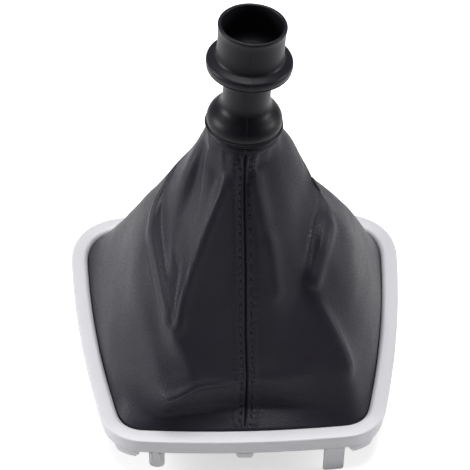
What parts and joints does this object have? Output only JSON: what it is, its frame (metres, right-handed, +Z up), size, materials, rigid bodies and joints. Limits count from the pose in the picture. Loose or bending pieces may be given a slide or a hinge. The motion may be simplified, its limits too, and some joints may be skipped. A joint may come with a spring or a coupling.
{
  "type": "gear lever gaiter",
  "caption": "Black leather gear lever gaiter with a sewn front seam, moulded neck collar and tapered satin silver trim frame on clip legs.",
  "frame": {"origin": "centre of the bounding box, at the level of the longest leg's end", "axes": "+Z up out of the console, +Y forwards in the car, the front seam on the driver's side at -Y, +X to the driver's right"},
  "size_m": [0.1672, 0.1536, 0.2107],
  "materials": {
    "leather": "fine grained black imitation leather",
    "collar_plastic": "satin black moulding",
    "silver_paint": "satin silver paint on plastic",
    "inner_plastic": "plain black moulding"
  },
  "bodies": {
    "root": {"trim_frame": "silver_paint", "hem_ring": "inner_plastic", "gaiter_left_panel": "leather", "gaiter_right_panel": "leather", "neck_collar": "collar_plastic", "neck_tie_band": "inner_plastic"}
  },
  "joints": []
}
